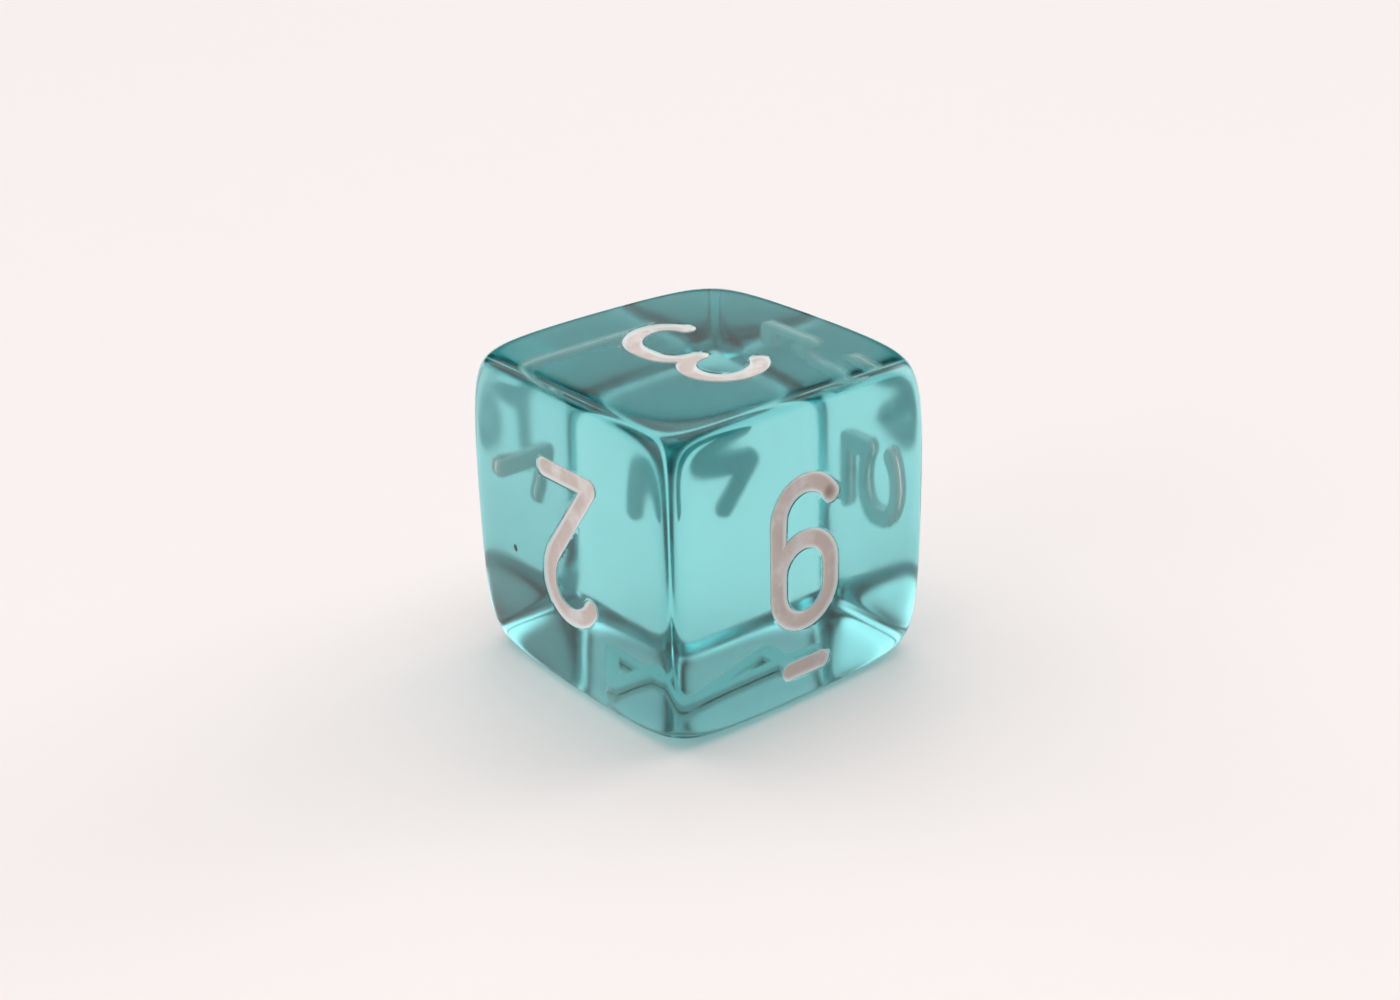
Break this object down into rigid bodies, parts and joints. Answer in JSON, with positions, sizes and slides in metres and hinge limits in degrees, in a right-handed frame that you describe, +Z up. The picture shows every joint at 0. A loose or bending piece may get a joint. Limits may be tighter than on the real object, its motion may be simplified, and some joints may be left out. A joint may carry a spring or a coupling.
{
  "type": "numbered die",
  "caption": "Cube-shaped translucent resin die with rounded corners and paint-filled engraved numerals.",
  "frame": {"origin": "middle of the bottom face, on the surface that the die rests on", "axes": "+Z up through the 3, +X out through the 6, -Y out through the 2"},
  "size_m": [0.016, 0.016, 0.016],
  "materials": {
    "resin": "polished, translucent",
    "paint": "matt"
  },
  "bodies": {
    "root": {"die_body": "resin", "numeral_1": "paint", "numeral_2": "paint", "numeral_3": "paint", "numeral_4": "paint", "numeral_5": "paint", "numeral_6": "paint", "numeral_6_bar": "paint"}
  },
  "joints": []
}
